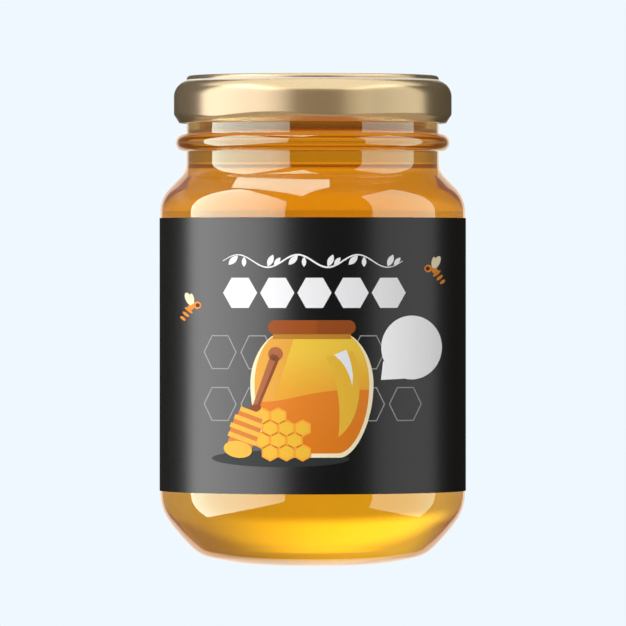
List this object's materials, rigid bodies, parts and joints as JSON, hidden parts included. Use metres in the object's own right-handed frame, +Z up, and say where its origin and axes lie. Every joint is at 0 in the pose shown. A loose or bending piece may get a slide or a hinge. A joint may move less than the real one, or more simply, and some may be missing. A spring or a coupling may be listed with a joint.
{
  "type": "honey jar",
  "caption": "Clear glass jar of honey with a rounded heel, sloped shoulder, neck bead, twist-off metal lid and wrapped dark paper label.",
  "frame": {"origin": "centre of the ring that the jar stands on", "axes": "+Z up along the jar's axis; the label's printed front faces -Y"},
  "size_m": [0.0744, 0.0742, 0.1184],
  "materials": {
    "glass": "clear, smooth",
    "honey": "clear amber liquid",
    "label_paper": "satin printed paper",
    "lid_metal": "satin gold lacquer"
  },
  "bodies": {
    "root": {"glass_jar": "glass", "honey": "honey", "label": "label_paper", "lid": "lid_metal"}
  },
  "joints": []
}
